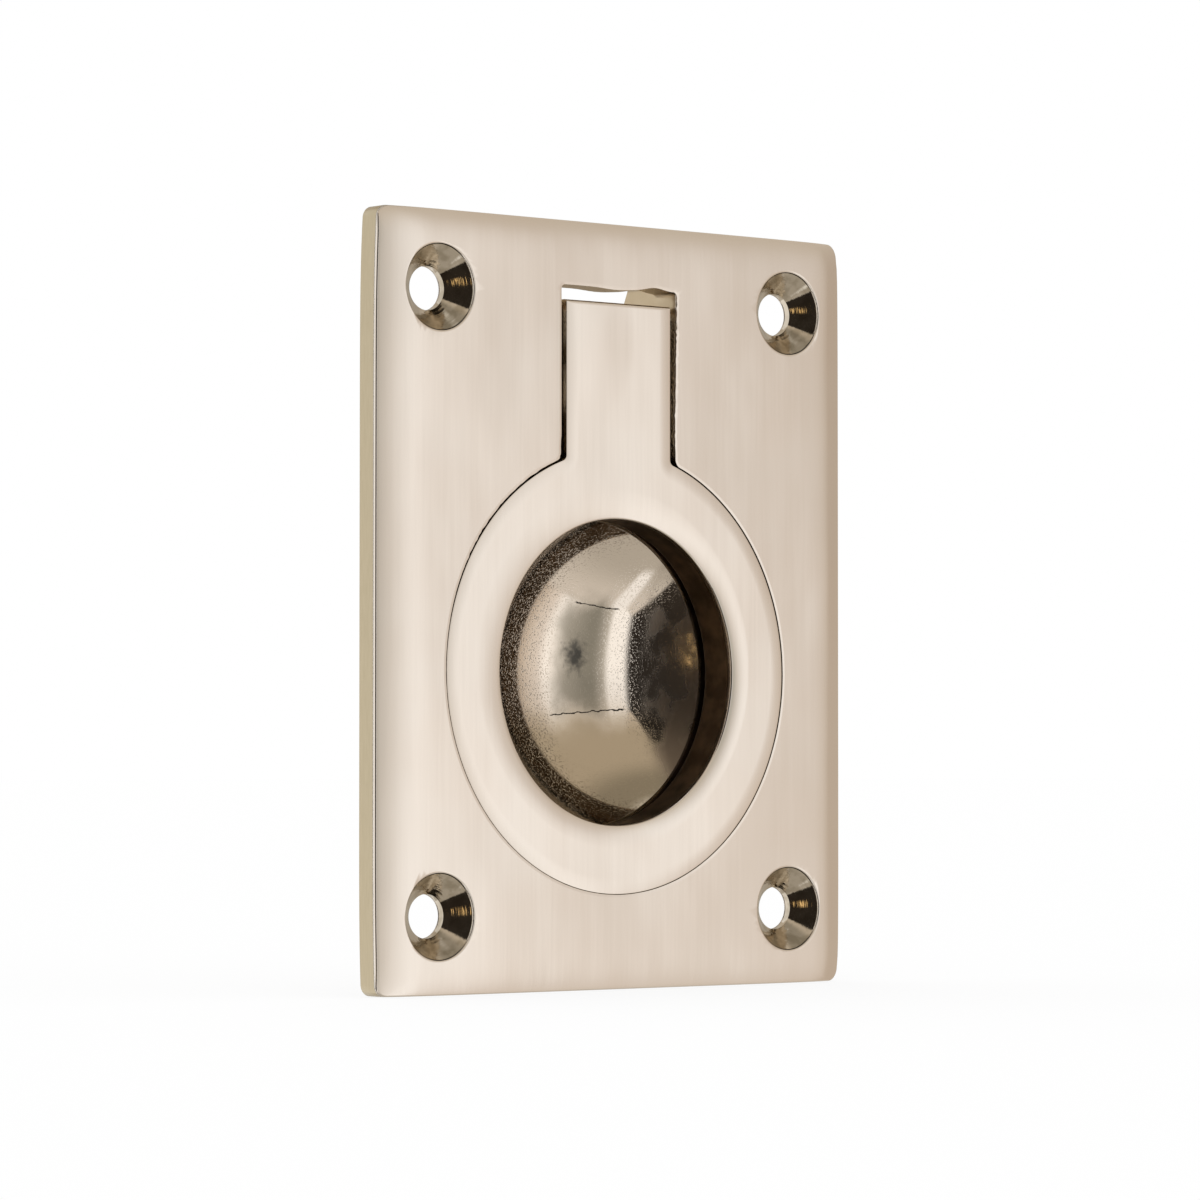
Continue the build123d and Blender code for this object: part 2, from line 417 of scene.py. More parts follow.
def recess_outline(depth, grow):
    """The keyhole as a hand file leaves it: uneven, jagged at the upper left, humped over the slot."""
    outline = keyhole(**recess_shape, grow=grow)
    by_hand = []
    for i, (x, z) in enumerate(outline):
        ahead, behind = outline[(i + 1) % len(outline)], outline[i - 1]
        along = Vector((ahead[0] - behind[0], ahead[1] - behind[1])).normalized()
        slow = noise.noise(Vector((x * slow_pitch, z * slow_pitch, 3.0)))
        fine = noise.noise(Vector((x * fine_pitch, z * fine_pitch, 8.0)))
        off = wander * (1 + slow) + grain * fine
        on_slot = between_0_and_1(z, slot_foot_z, slot_foot_z + 1)
        if x < 0:
            jagged = between_0_and_1(z, ring_z + 3, ring_z + 11) * (1 - on_slot)
            off += left_grain * fine + (jag + jag_grain * fine) * jagged
        else:
            mouth = mouth_flare * (1 - between_0_and_1(depth, 0.0, mouth_depth)) * (1 + fine)
            narrowing = slot_taper * (1 - between_0_and_1(z, slot_foot_z + 0.5, slot_top_z - 1))
            off += on_slot * abs(along.y) * (mouth - narrowing)
        bumps = sum(height * hump(x, middle, width) for height, middle, width in humps)
        off += on_slot * abs(along.x) * bumps
        by_hand.append((x + recess_shift[0] + off * along.y, z + recess_shift[1] - off * along.x))
    return by_hand


levels = [(front_y - cutter_start, recess_outline(0, mouth_grow))]
levels += [(front_y + depth, recess_outline(depth, out)) for out, depth in recess_edge]
levels += [(front_y + mouth_depth, recess_outline(mouth_depth, 0)), (floor_y, recess_outline(1, 0))]
keyhole_cutter = loft("keyhole cutter", levels)

cup_rim_turn = degrees(asin((floor_y - cup_centre_y) / cup_radius))
cup_mouth_turn = degrees(asin((front_y - 0.5 - cup_centre_y) / cup_radius))
bowl = arc((0, cup_centre_y), cup_radius, 90, cup_rim_turn - 2, 48)
bowl += arc((0, cup_centre_y), cup_radius, cup_rim_turn - 2, cup_mouth_turn, 8)[1:]
cup_cutter = lathe("cup cutter", [(0, bowl[0][1])] + bowl[1:] + [(0, bowl[-1][1])], ring_z)

past_back_y, past_top_z, past_lugs_x = 12, 32, 12  # clear of the casting
window_below_pin, pin_hole_radius = 4.31, 1.01
window_foot_z = pin_z - window_below_pin
window = [(0, window_foot_z), (past_back_y, window_foot_z)]
window += [(past_back_y, past_top_z), (0, past_top_z)]
window_cutter = slab("window cutter", window, slot_half_width)
pin_hole = arc((pin_y, pin_z), pin_hole_radius, 0, 360, 48)[1:]
pin_hole_cutter = slab("pin hole cutter", pin_hole, past_lugs_x)
combine(plate, [keyhole_cutter, cup_cutter, window_cutter, pin_hole_cutter], "DIFFERENCE")
print("after the cuts, faces", len(plate.data.polygons))

# %% [markdown]
# ## Four countersunk holes
#
# The screw holes repeat on a rectangle, so Geometry Nodes place them: a grid of two by two points
# takes a copy of one cutter at each, and one boolean cuts all four. Placing four objects by hand
# would work too, but here one change of spacing or of bit moves or changes every hole. The bit
# flares a little at the top, which leaves the small rounded lip of a polished plate.

# %% The countersink bit
countersink_radius = 3.6
lip_radius = 0.25
cone_depth = countersink_radius - screw_hole_radius
lip_reach = lip_radius * tan(pi / 8)
bit_radius = countersink_radius + lip_reach
bit = [(0, front_y - 1), (bit_radius, front_y - 1), (bit_radius, front_y)]
bit += arc((bit_radius, front_y + lip_radius), lip_radius, -90, -135, 5)[1:]
bit += [(screw_hole_radius, front_y + cone_depth), (screw_hole_radius, 1), (0, 1)]
countersink_bit = lathe("countersink bit", bit, 0, 96)
print("countersink", 2 * countersink_radius, "mm wide,", round(cone_depth, 2), "mm deep")

# %% Cut the four holes with Geometry Nodes
def drilled_plate_tree():
    """Cuts one bit at the four corners of a rectangle."""
    tree = bpy.data.node_groups.new("four countersunk holes", "GeometryNodeTree")
    tree.interface.new_socket("Geometry", in_out="INPUT", socket_type="NodeSocketGeometry")
    for name, kind in (
        ("Bit", "Object"),
        ("Spacing across", "Float"),
        ("Spacing up", "Float"),
        ("Finish", "Material"),
    ):
        tree.interface.new_socket(name, in_out="INPUT", socket_type="NodeSocket" + kind)
    tree.interface.new_socket("Geometry", in_out="OUTPUT", socket_type="NodeSocketGeometry")
    node = {
        name: tree.nodes.new(kind)
        for name, kind in (
            ("in", "NodeGroupInput"),
            ("corners", "GeometryNodeMeshGrid"),
            ("upright", "GeometryNodeTransform"),
            ("bit", "GeometryNodeObjectInfo"),
            ("place", "GeometryNodeInstanceOnPoints"),
            ("cut", "GeometryNodeMeshBoolean"),
            ("real", "GeometryNodeRealizeInstances"),
            ("finish", "GeometryNodeSetMaterial"),
            ("out", "NodeGroupOutput"),
        )
    }
    node["corners"].inputs["Vertices X"].default_value = 2
    node["corners"].inputs["Vertices Y"].default_value = 2
    node["upright"].inputs["Rotation"].default_value = (pi / 2, 0, 0)
    node["cut"].operation = "DIFFERENCE"
    node["cut"].solver = "EXACT"
    for start, out, end, into in (
        ("in", "Spacing across", "corners", "Size X"),
        ("in", "Spacing up", "corners", "Size Y"),
        ("corners", "Mesh", "upright", "Geometry"),
        ("upright", "Geometry", "place", "Points"),
        ("in", "Bit", "bit", "Object"),
        ("bit", "Geometry", "place", "Instance"),
        ("in", "Geometry", "cut", "Mesh 1"),
        ("place", "Instances", "cut", "Mesh 2"),
        ("cut", "Mesh", "real", "Geometry"),
        ("real", "Geometry", "finish", "Geometry"),
        ("in", "Finish", "finish", "Material"),
        ("finish", "Geometry", "out", "Geometry"),
    ):
        tree.links.new(node[start].outputs[out], node[end].inputs[into])
    return tree


def run_tree(piece, tree, **values):
    """Runs a tree on a piece with named inputs, and keeps the plain mesh."""
    step = piece.modifiers.new(tree.name, "NODES")
    step.node_group = tree
    for socket in tree.interface.items_tree:
        if socket.in_out == "INPUT" and socket.name in values:
            step[socket.identifier] = values[socket.name]
    settle(piece)
    made_of = [m for m in piece.data.materials if m]
    piece.data.materials.clear()
    for finish in made_of:
        piece.data.materials.append(finish)
    piece.data.polygons.foreach_set("material_index", [0] * len(piece.data.polygons))


polished = bpy.data.materials.new("polished nickel casting")
spacing = {"Spacing across": screw_spacing_x * mm, "Spacing up": screw_spacing_z * mm}
run_tree(plate, drilled_plate_tree(), Bit=countersink_bit, Finish=polished, **spacing)
bpy.data.objects.remove(countersink_bit)
print("after the holes, faces", len(plate.data.polygons))

# %% Soften what is still sharp
soften(plate, 0.12)

# %% [markdown]
# ## The ring pull
#
# The ring, its tongue and the knuckle are one casting. From the front it has the keyhole outline,
# and from the side it is thin with a rounded knuckle at the top. So it is made as the overlap of
# a loft and a slab: each shape is simple, and only together do they have the real form. The rim
# tapers towards the back, so that it swings clear of the recess.

# %% Loft the outline
ring_radius = 18.4
ring_back_y = 1.7
ring_edge = worn(1.3, 0.07, 0.03)
ring_back_roll = 1.1
ring_back_overlap = 0.5  # the last level is this much smaller and lies behind the back
opening_radius = 12.7
tongue_half_width = 5.7
tongue_shoulder, tongue_corner = 0.5, 1
past_tongue_z = 30  # the side profile cuts the tongue to its length
draft = tan(radians(14))


def ring_outline(depth, inset, tongue_inset):
    """The outline of the ring and its tongue at one depth below the front."""
    reach = ring_radius - depth * draft - inset
    half_width, shoulder = tongue_half_width - tongue_inset, tongue_shoulder + tongue_inset
    return keyhole(reach, half_width, past_tongue_z, shoulder, tongue_corner)


levels = [(front_y + depth, ring_outline(depth, inset, inset)) for inset, depth in ring_edge]
back_depth = ring_back_y - front_y
for inset, rise in reversed(rolled(ring_back_roll)):
    levels.append((ring_back_y - rise, ring_outline(back_depth - rise, inset, 0)))
levels.append((ring_back_y + 3, ring_outline(back_depth, ring_back_roll + ring_back_overlap, 0)))
pull = loft("ring_casting", levels)
print("ring levels", len(levels))

# %% Cut it with the side profile, then open the ring and drill the knuckle
knuckle_back = knuckle_back_y - pin_y
knuckle_back_radius = 2.4
knuckle_front_radius = 0.4
knuckle_hole_radius = 1.07  # runs freely on the pin
knuckle_top_centre = (knuckle_back_y - knuckle_back_radius, tongue_top_z - knuckle_back_radius)
knuckle_front_centre = (front_y + knuckle_front_radius, tongue_top_z - knuckle_front_radius)
heel_turn = -degrees(asin(sqrt(knuckle_back**2 - (ring_back_y - pin_y) ** 2) / knuckle_back))
past_foot_z, past_ring_x = -30, 25
side = [(front_y - 1, past_foot_z), (ring_back_y, past_foot_z)]
side += arc((pin_y, pin_z), knuckle_back, heel_turn, 0, 12)
side += arc(knuckle_top_centre, knuckle_back_radius, 0, 90, 16)
side += arc(knuckle_front_centre, knuckle_front_radius, 90, 180, 16)
side += [(front_y - 1, tongue_top_z - knuckle_front_radius)]
combine(pull, [slab("side profile", side, past_ring_x)], "INTERSECT")

crisp_edge = worn(2.4, 0.195, 0.2, power=4, proud=0.004)  # at the lower right
soft_edge = worn(3.6, 0.10, 0.2, power=3, proud=0.004)  # at the upper left
opening_steps = 192
clear = 0.3  # how far the cutter reaches past the front and the back
rows = [[(0, front_y - clear, ring_z)]]
levels = [(crisp_edge[0], soft_edge[0], -clear)]
levels += [(crisp, soft, 0) for crisp, soft in zip(crisp_edge, soft_edge)]
for (crisp_inset, crisp_depth), (soft_inset, soft_depth), up in levels:
    row = []
    for turn in around(opening_steps):
        share = (1 + cos(turn + pi / 4)) / 2
        radius = opening_radius + soft_inset + (crisp_inset - soft_inset) * share
        depth = up if up else soft_depth + (crisp_depth - soft_depth) * share
        row.append((radius * cos(turn), front_y + depth, ring_z + radius * sin(turn)))
    rows.append(row)
back_edge = [(inset, ring_back_y - rise) for inset, rise in reversed(rolled(ring_back_roll, 8))]
back_edge += [(ring_back_roll + ring_back_overlap, ring_back_y + clear)]
for inset, y in back_edge:
    radius = opening_radius + inset
    rows.append([(radius * cos(a), y, ring_z + radius * sin(a)) for a in around(opening_steps)])
rows.append([(0, ring_back_y + clear, ring_z)])
opening_cutter = solid("opening cutter", rows)
knuckle_hole = arc((pin_y, pin_z), knuckle_hole_radius, 0, 360, 48)[1:]
knuckle_hole_cutter = slab("knuckle hole cutter", knuckle_hole, past_lugs_x)
combine(pull, [opening_cutter, knuckle_hole_cutter], "DIFFERENCE")
soften(pull, 0.15)
pull.data.materials.clear()
pull.data.materials.append(polished)

# %% [markdown]
# ## Which piece moves with what
#
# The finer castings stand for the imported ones, and ride on the same bodies. The hinge pin keeps
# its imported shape, which is already right.

# %% Ride and replace
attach(plate, "faceplate")
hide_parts("faceplate")
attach(pull, "ring")
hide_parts("ring_pull")
print("finer castings:", plate.name, "and", pull.name)

# %% [markdown]
# ## The nickel finishes
#
# Both castings are nickel plated, but only what a buffing wheel reaches is bright. The wheel
# leaves faint upright streaks and a slow waviness that bends every reflection. The cup is bright
# too but stained and scratched by fingers, and painted shade darkens its foot and the right of its
# middle. The countersinks keep the rings of the bit, the sides of the plate are filed, the gaps are
# dull brown with painted shade that makes them darker still, and the back keeps the grain of the
# mould.
# Separate materials would meet in hard seams, so each casting has one material that lays the
# finishes over each other, each through a soft mask read from the place on the piece.

# %% Short names for shader nodes
class Finish:
    """Adds nodes to a material or a world. Most methods return an output socket."""

    def __init__(self, material):
        material.use_nodes = True
        self.nodes, self.links = material.node_tree.nodes, material.node_tree.links
        self.shader = self.nodes["Principled BSDF"] if "Principled BSDF" in self.nodes else None

    def node(self, kind, settings=(), **inputs):
        """One node. Its inputs go by name, with _ for a space, or by number: i0, i1 and so on."""
        made = self.nodes.new("ShaderNode" + kind)
        for name, value in dict(settings).items():
            setattr(made, name, value)
        for name, value in inputs.items():
            self.feed(made, int(name[1:]) if name[1:].isdigit() else name.replace("_", " "), value)
        return made

    def feed(self, made, name, value):
        if isinstance(value, bpy.types.NodeSocket):
            self.links.new(value, made.inputs[name])
        else:
            made.inputs[name].default_value = value

    def math(self, how, a, b=0.0, c=0.0):
        return self.node("Math", {"operation": how}, i0=a, i1=b, i2=c).outputs[0]

    def both(self, *masks):
        """The product of masks: 1 only where all of them are."""
        made = masks[0]
        for mask in masks[1:]:
            made = self.math("MULTIPLY", made, mask)
        return made

    def length(self, a, b):
        a_square, b_square = self.math("MULTIPLY", a, a), self.math("MULTIPLY", b, b)
        return self.math("SQRT", self.math("ADD", a_square, b_square))

    def ramp(self, value, low, high):
        """0 below low, 1 above high, smooth between; low may be the larger."""
        smooth = {"interpolation_type": "SMOOTHSTEP"}
        made = self.node("MapRange", smooth, Value=value, From_Min=low, From_Max=high)
        return made.outputs["Result"]

    def mix(self, factor, a, b):
        made = self.node("Mix", {"data_type": "RGBA"}, i0=factor)
        self.feed(made, 6, a)
        self.feed(made, 7, b)
        return made.outputs[2]

    def blend(self, factor, a, b):
        made = self.node("Mix", {"data_type": "FLOAT"}, i0=factor)
        self.feed(made, 2, a)
        self.feed(made, 3, b)
        return made.outputs[0]

    def noise(self, where, scale, detail=2.0, stretch=(1, 1, 1)):
        placed = self.node("Mapping", Vector=where, Scale=stretch).outputs[0]
        made = self.node("TexNoise", Vector=placed, Scale=scale, Detail=detail, Roughness=0.5)
        return made.outputs["Fac"]

    def place(self):
        """The place on the piece, in millimetres."""
        seen = self.node("TexCoord").outputs["Object"]
        return self.node("VectorMath", {"operation": "SCALE"}, Vector=seen, Scale=1 / mm).outputs[0]

    def spots(self):
        """The place, its three numbers, and the distance from the axis of the cup."""
        place = self.place()
        x, y, z = self.node("SeparateXYZ", Vector=place).outputs
        return place, x, y, z, self.length(x, self.math("SUBTRACT", z, ring_z))

    def lay(self, layers):
        """Lays (mask, colour, roughness, height in mm) over each other and feeds the shader."""
        _, colour, rough, height = layers[0]
        for mask, top_colour, top_rough, top_height in layers[1:]:
            colour = self.mix(mask, colour, top_colour)
            rough = self.blend(mask, rough, top_rough)
            height = self.blend(mask, height, top_height)
        bump = self.node("Bump", Height=height, Strength=1.0, Distance=mm)
        self.links.new(colour, self.shader.inputs["Base Color"])
        self.links.new(rough, self.shader.inputs["Roughness"])
        self.links.new(bump.outputs[0], self.shader.inputs["Normal"])
        self.shader.inputs["Metallic"].default_value = 1.0


# %% The buffed front
def buffed(f, place, x, lean=0.0):
    """Upright streaks and a slow waviness. lean tilts what the face mirrors to one side."""
    cloud = f.noise(place, 0.11, 2.0)
    streak = f.noise(place, 1.0, 3.0, (4.0, 4.0, 0.1))
    colour = f.mix(f.ramp(cloud, 0.3, 0.7), (0.875, 0.80, 0.72, 1), (0.86, 0.775, 0.69, 1))
    rough = f.math("MULTIPLY_ADD", streak, 0.10, 0.08)
    wave = f.noise(place, 0.055, 1.0)
    ripple = f.noise(place, 0.16, 1.0, (1.4, 1.0, 0.7))
    brush = f.noise(place, 1.0, 2.0, (1.1, 1.1, 0.05))
    height = f.math("MULTIPLY_ADD", wave, 0.25, f.math("MULTIPLY", ripple, 0.03))
    fine = f.math("MULTIPLY_ADD", brush, 0.004, f.math("MULTIPLY", streak, 0.0008))
    height = f.math("ADD", height, fine)
    return colour, rough, f.math("MULTIPLY_ADD", x, lean, height)


# %% The dull gaps, darkened with painted shade, and the cast back
def dull_and_shaded(f, place, colour):
    """Dull brown whose dark colour is painted shade for the gaps, with patches nearly twice as light."""
    cloud = f.noise(place, 0.5, 3.0)
    lighter = tuple(min(1.9 * c, 1) for c in colour)
    return f.mix(f.ramp(cloud, 0.35, 0.7), (*colour, 1), (*lighter, 1)), 0.4, 0.0


def as_cast(f, place):
    """The grain of the mould under the plating."""
    cloud = f.noise(place, 0.25, 3.0)
    colour = f.mix(cloud, (0.50, 0.455, 0.39, 1), (0.41, 0.37, 0.31, 1))
    return colour, 0.45, f.math("MULTIPLY", f.noise(place, 2.2, 5.0), 0.03)


# %% The sawn walls of the slot
def sawn(f, place, y, z):
    """Fine lines that fan out from the front edge, where the cutter came out."""
    fan = f.math("ARCTAN2", f.math("SUBTRACT", z, slot_top_z - 3.0), f.math("ADD", y, 6.0))
    line = f.noise(f.node("CombineXYZ", X=f.math("MULTIPLY", fan, 40.0)).outputs[0], 1.0, 3.0)
    cloud = f.noise(place, 0.6, 2.0)
    colour = f.mix(cloud, (0.50, 0.395, 0.255, 1), (0.60, 0.49, 0.34, 1))
    near_front = f.ramp(y, front_y + 1.2, front_y + 0.6)
    near_front = f.both(near_front, f.ramp(z, slot_top_z - 1.6, slot_top_z - 2.2))
    torn = f.both(f.noise(place, 4.0, 3.0), near_front)
    return colour, 0.35, f.math("MULTIPLY_ADD", torn, 0.3, f.math("MULTIPLY", line, 0.01))


# %% The filed side of the plate
def filed(f, place):
    """Fine lines that the file left along the edge."""
    line = f.noise(place, 1.0, 3.0, (0.6, 7.0, 0.6))
    colour = f.mix(line, (0.50, 0.42, 0.28, 1), (0.61, 0.52, 0.365, 1))
    return colour, 0.32, f.math("MULTIPLY", line, 0.003)


# %% The turned rings of a countersink
def turned(f, place, x, z):
    """The distance from the nearest hole's axis, and rings round it under a little grime."""
    across = f.math("SUBTRACT", f.math("ABSOLUTE", x), screw_spacing_x / 2)
    upright = f.math("SUBTRACT", f.math("ABSOLUTE", z), screw_spacing_z / 2)
    out = f.length(across, upright)
    ring = f.noise(f.node("CombineXYZ", X=out).outputs[0], 5.0, 2.0)
    grime = f.noise(place, 0.9, 3.0)
    colour = f.mix(f.ramp(grime, 0.4, 0.65), (0.68, 0.60, 0.49, 1), (0.50, 0.43, 0.33, 1))
    return out, (colour, 0.08, f.math("MULTIPLY", ring, 0.014))


# %% The cup
scratches = ((0.95, -0.14, 2.6, 6.9), (-9.0, 0.07, 0.6, 7.8))  # height, slope, start and end
scratch_colour = (0.03, 0.026, 0.02, 1)


def fingered_and_shaded(f, place, x, z):
    """Bright and smooth, with painted shade that darkens the foot and the right of the middle, brown blotches, a
    brushed side and two scratches.
    """
    speck = f.noise(place, 7.0, 3.0)
    cloud = f.noise(place, 0.45, 4.0)
    ragged = f.math("MULTIPLY_ADD", f.noise(place, 1.6, 3.0), 0.5, -0.25)
    shift = f.math("MULTIPLY_ADD", cloud, 3.0, -1.5)

    # painted shade: the cup gets darker towards its foot
    painted_shade_low = f.ramp(f.math("ADD", z, shift), -7.8, -10.8)
    colour = f.mix(painted_shade_low, (0.90, 0.80, 0.69, 1), (0.61, 0.515, 0.385, 1))
    # painted shade: a darker grey right of the middle of the cup
    painted_shade_right = f.both(
        f.ramp(f.math("ADD", x, shift), 0.2, 3.0),
        f.ramp(x, 6.6, 5.0),
        f.ramp(f.math("ADD", z, shift), -9.4, -7.6),
        f.ramp(f.math("ADD", z, shift), 2.0, -0.6),
    )
    colour = f.mix(painted_shade_right, colour, (0.43, 0.385, 0.315, 1))
    thumb = f.length(f.math("SUBTRACT", x, 3.5), f.math("MULTIPLY_ADD", z, 0.75, 2.9))
    thumb = f.ramp(f.math("MULTIPLY_ADD", f.noise(place, 1.6, 4.0), 2.4, thumb), 2.7, 1.2)
    colour = f.mix(thumb, colour, (0.10, 0.095, 0.085, 1))
    patches = f.noise(place, 0.42, 3.0, (1.0, 1.0, 0.7))
    patches = f.math("MULTIPLY_ADD", f.ramp(z, -8.0, -13.0), 0.12, patches)  # more of them low down
    blotch = f.both(f.ramp(patches, 0.36, 0.62), f.ramp(x, 8.2, 10.2))
    colour = f.mix(blotch, colour, (0.34, 0.27, 0.21, 1))
    for height, slope, start, end in scratches:
        line = f.math("ADD", f.math("MULTIPLY_ADD", x, slope, height), ragged)
        near = f.ramp(f.math("ABSOLUTE", f.math("SUBTRACT", z, line)), 0.08, 0.03)
        scratch = f.both(near, f.ramp(x, start, start + 0.4), f.ramp(x, end, end - 0.4))
        colour = f.mix(scratch, colour, scratch_colour)

    brushed = f.ramp(x, 1.6, -0.4)
    rough = f.blend(brushed, 0.04, 0.07)
    rough = f.blend(blotch, rough, 0.42)
    pits = f.both(f.ramp(speck, 0.54, 0.72), f.blend(brushed, 0.003, 0.011))
    return colour, rough, pits


# %% Lay the finishes on the plate
cup_rim_radius = 13.0
# dull brown for the recess under the ring and the slot, made dark as painted shade
gap_colour_and_shade = (0.10, 0.065, 0.042)


def dress_plate(f):
    """Each mask is read from the place: how deep, how far out, how near to which feature."""
    place, x, y, z, out = f.spots()
    side = f.math("ABSOLUTE", x)
    deep = f.ramp(y, front_y + 0.08, front_y + 0.2)
    above_floor = f.ramp(y, floor_y + 0.9, floor_y + 0.6)
    in_circle = f.both(f.ramp(out, recess_radius + 0.7, recess_radius + 0.3), above_floor)
    reach = f.blend(f.ramp(y, 0.2, 0.6), 0.65, 0.14)
    in_slot = f.both(
        f.ramp(f.math("DIVIDE", f.math("SUBTRACT", side, slot_half_width), reach), 1.0, 0.4),
        f.ramp(z, slot_foot_z - 1, slot_foot_z),
        f.ramp(z, slot_top_z + 0.8, slot_top_z + 0.4),
        f.math("MAXIMUM", above_floor, f.ramp(z, window_foot_z - 0.3, window_foot_z - 0.1)),
    )
    gap = f.math("MULTIPLY", f.math("MAXIMUM", in_circle, in_slot), deep)
    from_cup_centre = f.length(out, f.math("SUBTRACT", y, cup_centre_y))
    in_cup = f.both(
        f.ramp(out, cup_rim_radius + 0.1, cup_rim_radius - 0.1),
        f.ramp(y, floor_y - 0.15, floor_y),
        f.ramp(from_cup_centre, cup_radius + 0.9, cup_radius + 0.6),
    )
    from_edge = f.math(
        "MAXIMUM",
        f.math("SUBTRACT", side, plate_half_x),
        f.math("SUBTRACT", f.math("ABSOLUTE", z), plate_half_z),
    )
    at_side = f.both(f.ramp(from_edge, -0.7, -0.5), f.ramp(y, front_y + 0.65, front_y + 0.8))
    hole_out, rings = turned(f, place, x, z)
    in_hole = f.both(
        f.ramp(hole_out, countersink_radius, countersink_radius - 0.1),
        f.ramp(y, front_y + 0.06, front_y + 0.14),
        f.ramp(y, -0.05, -0.15),
    )
    f.lay(
        [
            (None, *buffed(f, place, x)),
            (at_side, *filed(f, place)),
            (in_hole, *rings),
            (f.ramp(y, -0.05, 0.05), *as_cast(f, place)),
            # painted shade: the gaps get a dark dull brown
            (gap, *dull_and_shaded(f, place, gap_colour_and_shade)),
            (f.both(in_slot, deep), *sawn(f, place, y, z)),
            (in_cup, *fingered_and_shaded(f, place, x, z)),
        ]
    )


plate_face = Finish(polished)
dress_plate(plate_face)
print("nodes in the finish of the plate", len(plate_face.nodes))

# %% Lay the finishes on the ring
ring_lean = 0.026  # the ring lies a little turned in its recess
bulge_height = 0.05  # and its tongue is fuller at the upper left
# the rim and the opening wall of the ring are dull brown, made dark as painted shade
rim_colour_and_shade = (0.15, 0.11, 0.073)


def dress_ring(f):
    place, x, y, z, _ = f.spots()
    below_knuckle = f.ramp(z, tongue_top_z - 0.3, tongue_top_z - 0.7)
    bulge = f.length(f.math("ADD", x, 2.2), f.math("MULTIPLY_ADD", z, 0.55, -12.5))
    colour, rough, height = buffed(f, place, x, ring_lean)
    height = f.math("MULTIPLY_ADD", f.ramp(bulge, 4.0, 0.0), bulge_height, height)
    on_rim = f.both(f.ramp(y, front_y + 0.35, front_y + 0.7), below_knuckle)
    f.lay(
        [
            (None, colour, rough, height),
            # painted shade on the rim and the opening wall of the ring
            (on_rim, *dull_and_shaded(f, place, rim_colour_and_shade)),
            (f.ramp(y, ring_back_y - 0.7, ring_back_y - 0.3), *as_cast(f, place)),
        ]
    )


ring_finish = bpy.data.materials.new("polished nickel ring")
pull.data.materials[0] = ring_finish
ring_face = Finish(ring_finish)
dress_ring(ring_face)
print("nodes in the finish of the ring", len(ring_face.nodes))

# %% [markdown]
# ## The pin
#
# The pin is a plain drawn rod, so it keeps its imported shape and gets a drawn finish: fine lines
# that run round it.

# %% Finish of the pin
drawn = bpy.data.materials.new("drawn pin")
f = Finish(drawn)
lines = f.noise(f.place(), 1.0, 3.0, (9.0, 0.6, 0.6))
metal = f.mix(lines, (0.50, 0.44, 0.32, 1), (0.62, 0.56, 0.42, 1))
f.links.new(metal, f.shader.inputs["Base Color"])
f.links.new(f.math("MULTIPLY_ADD", lines, 0.2, 0.25), f.shader.inputs["Roughness"])
f.shader.inputs["Metallic"].default_value = 1.0
pin = frame["nodes"]["hinge_pin"]
for slot_of_pin in pin.material_slots:
    slot_of_pin.material = drawn
print("slots of the pin", len(pin.material_slots))

# %% [markdown]
# ## The floor, the studio and the camera
#
# Polished metal shows its surroundings more than itself, so the studio matters as much as the
# finish. A few lamps would leave the metal black between their reflections, so the world itself
# is painted as a room: soft walls that are white behind the piece, pale on the right, with one
# tall bright strip, and dark on the side of the camera, and above and below them a warm ceiling
# and a pale table. Only the metal sees this room. Everything else sees plain white.

# %% Floor
floor_reach = 6.0  # metres
bm = bmesh.new()
corners = ((-1, -1), (1, -1), (1, 1), (-1, 1))
bm.faces.new([bm.verts.new((x * floor_reach, y * floor_reach, plate_low.z)) for x, y in corners])
floor_mesh = bpy.data.meshes.new("floor")
bm.to_mesh(floor_mesh)
bm.free()
floor = bpy.data.objects.new("floor", floor_mesh)
bpy.context.scene.collection.objects.link(floor)
pale = bpy.data.materials.new("pale floor")
f = Finish(pale)
f.nodes.remove(f.shader)
rays = f.node("LightPath").outputs
matt = f.node("BsdfDiffuse", Color=(0.98, 0.98, 0.98, 1)).outputs[0]
glow = f.node("Emission", Color=(1, 1, 1, 1), Strength=1.0).outputs[0]
share_of_glow = f.math("MULTIPLY", rays["Is Camera Ray"], 0.85)
lit = f.node("MixShader", i0=share_of_glow, i1=matt, i2=glow).outputs[0]
unseen = f.node("BsdfTransparent").outputs[0]
seen_floor = f.node("MixShader", i0=rays["Is Glossy Ray"], i1=lit, i2=unseen).outputs[0]
f.links.new(seen_floor, f.nodes["Material Output"].inputs["Surface"])
floor_mesh.materials.append(pale)
print("floor", 2 * floor_reach, "m wide at height", round(plate_low.z / mm, 2), "mm")

# %% Studio walls
walls = (  # degrees from straight ahead of the plate, positive to the right, and the colour
    (-180, (1.0, 1.0, 1.0)),
    (-110, (0.92, 0.91, 0.89)),
    (-84, (0.40, 0.37, 0.33)),
    (-64, (0.034, 0.027, 0.021)),
    (-16, (0.024, 0.021, 0.018)),
    (-13, (0.99, 0.99, 0.99)),
    (-4, (0.99, 0.99, 0.99)),
    (-1, (0.50, 0.48, 0.44)),
    (11, (0.50, 0.48, 0.44)),
    (22, (0.72, 0.69, 0.65)),
    (36, (1.03, 1.02, 1.01)),
    (43, (0.725, 0.67, 0.62)),
    (49, (0.67, 0.605, 0.54)),
    (56, (0.53, 0.455, 0.38)),
    (92, (0.53, 0.455, 0.38)),
    (118, (0.42, 0.37, 0.30)),
    (142, (0.42, 0.37, 0.30)),
    (158, (0.95, 0.95, 0.95)),
    (180, (1.0, 1.0, 1.0)),
)
world = bpy.data.worlds.new("studio")
bpy.context.scene.world = world
world.use_nodes = True
f = Finish(world)
aim_x, aim_y, aim_z = f.node("SeparateXYZ", Vector=f.node("TexCoord").outputs["Generated"]).outputs
